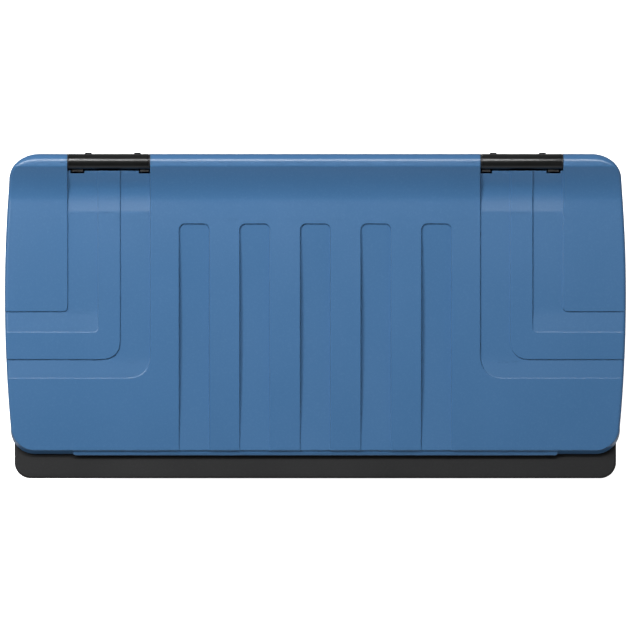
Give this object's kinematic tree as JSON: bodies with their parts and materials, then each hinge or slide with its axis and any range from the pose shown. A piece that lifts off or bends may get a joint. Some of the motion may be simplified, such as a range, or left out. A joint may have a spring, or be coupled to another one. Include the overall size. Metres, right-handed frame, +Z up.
{
  "type": "sandbox with hinged cover",
  "caption": "Rectangular moulded sandbox tub with drain holes and moulded feet, closed by a ribbed plastic lid that turns on pinned steel hinges bolted along its rear edge.",
  "frame": {"origin": "on the ground under the middle of the overall box", "axes": "+Z up, +Y to the hinged rear, +X to the right of a person facing the front"},
  "size_m": [1.2, 0.63, 0.46],
  "materials": {
    "lid_plastic": "satin blue polyethylene with a fine moulded grain",
    "tub_plastic": "matt dark grey polyethylene with a fine moulded grain",
    "seal_rubber": "matt black solid rubber",
    "black_steel": "black powder coat, semi-gloss",
    "zinc_steel": "bright zinc plate",
    "bush_plastic": "black acetal"
  },
  "bodies": {
    "tub_body": {"tub": "tub_plastic", "lid_seal": "seal_rubber", "hinge_bracket_left": "black_steel", "hinge_tube_left": "black_steel", "hinge_pin_left": "zinc_steel", "pin_clip_left": "zinc_steel", "hinge_bolt_left_inner": "black_steel", "hinge_bolt_left_outer": "black_steel", "plate_washer_left_inner": "black_steel", "plate_washer_left_outer": "black_steel", "wall_washer_left_inner": "zinc_steel", "wall_washer_left_outer": "zinc_steel", "hinge_nut_left_inner": "zinc_steel", "hinge_nut_left_outer": "zinc_steel", "hinge_bracket_right": "black_steel", "hinge_tube_right": "black_steel", "hinge_pin_right": "zinc_steel", "pin_clip_right": "zinc_steel", "hinge_bolt_right_inner": "black_steel", "hinge_bolt_right_outer": "black_steel", "plate_washer_right_inner": "black_steel", "plate_washer_right_outer": "black_steel", "wall_washer_right_inner": "zinc_steel", "wall_washer_right_outer": "zinc_steel", "hinge_nut_right_inner": "zinc_steel", "hinge_nut_right_outer": "zinc_steel"},
    "lid_body": {"lid": "lid_plastic", "hinge_bush_left_inner": "bush_plastic", "hinge_bush_left_outer": "bush_plastic", "hinge_bush_right_inner": "bush_plastic", "hinge_bush_right_outer": "bush_plastic"}
  },
  "joints": [
    {"name": "lid_hinge", "type": "hinge", "parent": "tub_body", "child": "lid_body", "pos_m": [0, 0.297, 0.445], "axis": [-1, 0, 0], "range_deg": [0, 105]}
  ]
}
